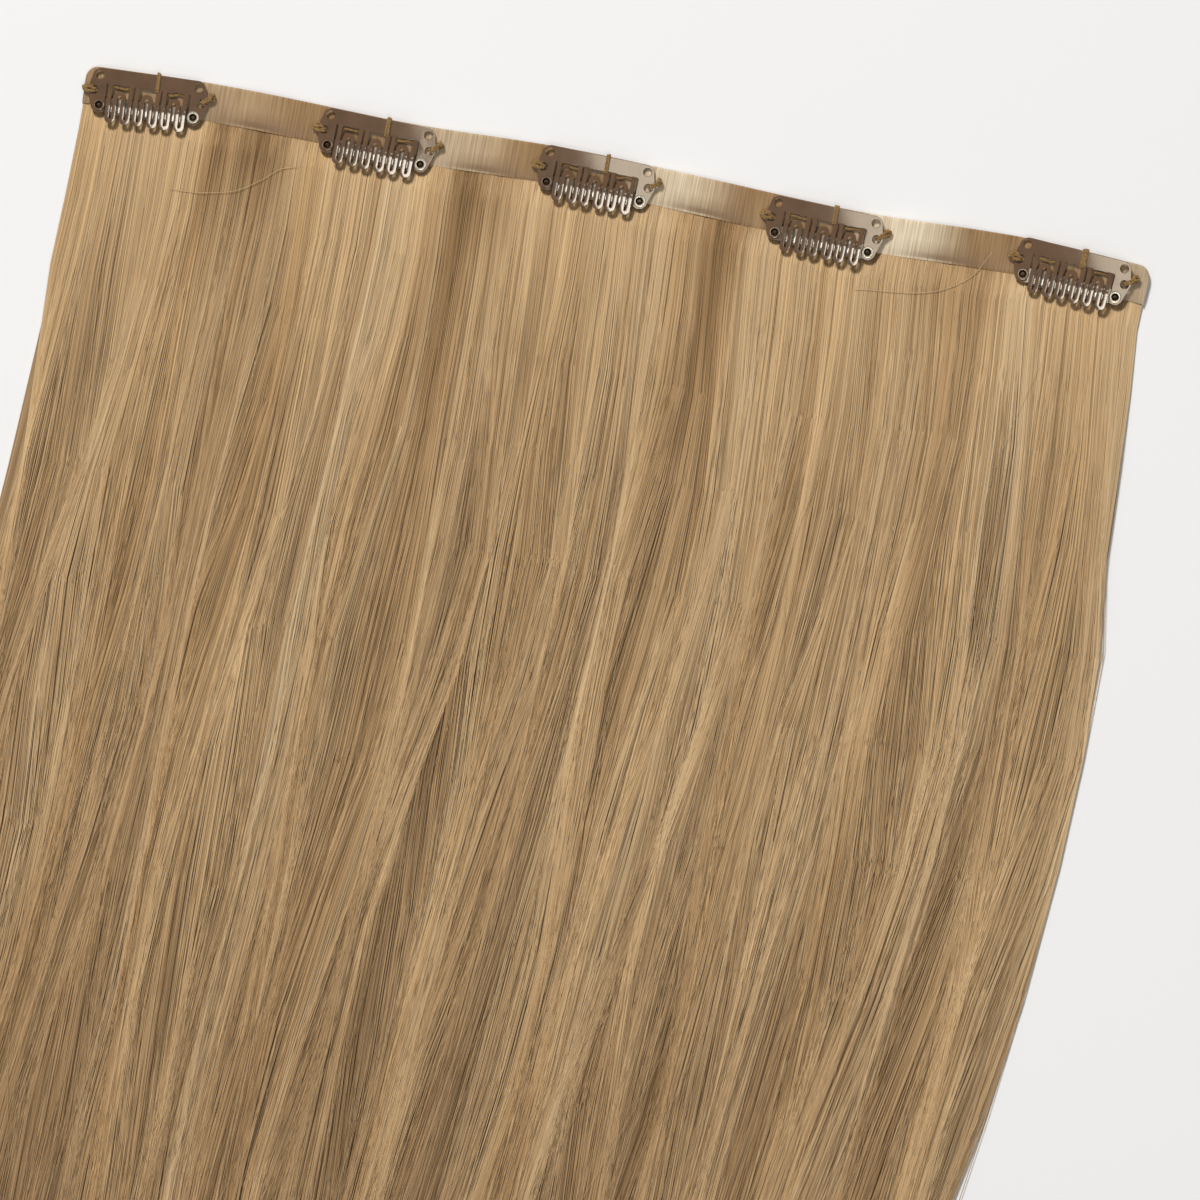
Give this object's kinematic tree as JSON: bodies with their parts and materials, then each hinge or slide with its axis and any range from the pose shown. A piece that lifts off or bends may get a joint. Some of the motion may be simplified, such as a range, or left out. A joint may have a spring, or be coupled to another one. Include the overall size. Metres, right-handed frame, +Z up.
{
  "type": "clip-in hair extension weft",
  "caption": "Wide weft of long hair on a thin folded band, with snap clips sewn along the band to fasten it under the wearer's own hair.",
  "frame": {"origin": "middle of the band's length, on its underside", "axes": "+X along the band, +Y from the hair's tips to the band, +Z up out of the side that carries the clips"},
  "size_m": [0.2961, 0.46, 0.007],
  "materials": {
    "clip_metal": "satin brown enamel",
    "grip_sleeve": "glossy, slightly see-through",
    "eyelet_metal": "rolled, partly painted brown",
    "band": "thin and slightly see-through",
    "hair": "soft sheen, dark blonde"
  },
  "bodies": {
    "weft": {"weft_band": "band", "hair_curtain": "hair", "clip_1_ear_left": "clip_metal", "clip_1_ear_right": "clip_metal", "clip_1_strip": "clip_metal", "clip_1_sleeve": "grip_sleeve", "clip_1_eyelet_left": "eyelet_metal", "clip_1_eyelet_right": "eyelet_metal", "clip_2_ear_left": "clip_metal", "clip_2_ear_right": "clip_metal", "clip_2_strip": "clip_metal", "clip_2_sleeve": "grip_sleeve", "clip_2_eyelet_left": "eyelet_metal", "clip_2_eyelet_right": "eyelet_metal", "clip_3_ear_left": "clip_metal", "clip_3_ear_right": "clip_metal", "clip_3_strip": "clip_metal", "clip_3_sleeve": "grip_sleeve", "clip_3_eyelet_left": "eyelet_metal", "clip_3_eyelet_right": "eyelet_metal", "clip_4_ear_left": "clip_metal", "clip_4_ear_right": "clip_metal", "clip_4_strip": "clip_metal", "clip_4_sleeve": "grip_sleeve", "clip_4_eyelet_left": "eyelet_metal", "clip_4_eyelet_right": "eyelet_metal", "clip_5_ear_left": "clip_metal", "clip_5_ear_right": "clip_metal", "clip_5_strip": "clip_metal", "clip_5_sleeve": "grip_sleeve", "clip_5_eyelet_left": "eyelet_metal", "clip_5_eyelet_right": "eyelet_metal"},
    "comb_1": {"clip_1_comb": "clip_metal"},
    "comb_2": {"clip_2_comb": "clip_metal"},
    "comb_3": {"clip_3_comb": "clip_metal"},
    "comb_4": {"clip_4_comb": "clip_metal"},
    "comb_5": {"clip_5_comb": "clip_metal"}
  },
  "joints": [
    {"name": "clip_1_snap", "type": "hinge", "parent": "weft", "child": "comb_1", "pos_m": [-0.12402, 0.00331, 0.00305], "axis": [-0.9988, -0.0489, 0], "range_deg": [0, 40]},
    {"name": "clip_2_snap", "type": "hinge", "parent": "weft", "child": "comb_2", "pos_m": [-0.06314, 0.00321, 0.00305], "axis": [-0.9998, 0.0209, 0], "range_deg": [0, 40]},
    {"name": "clip_3_snap", "type": "hinge", "parent": "weft", "child": "comb_3", "pos_m": [-0.00545, 0.00437, 0.00305], "axis": [-0.9998, 0.0192, 0], "range_deg": [0, 40]},
    {"name": "clip_4_snap", "type": "hinge", "parent": "weft", "child": "comb_4", "pos_m": [0.05527, 0.00242, 0.00305], "axis": [-0.9997, 0.0262, 0], "range_deg": [0, 40]},
    {"name": "clip_5_snap", "type": "hinge", "parent": "weft", "child": "comb_5", "pos_m": [0.12089, 0.0033, 0.00305], "axis": [-0.9981, 0.061, 0], "range_deg": [0, 40]}
  ]
}
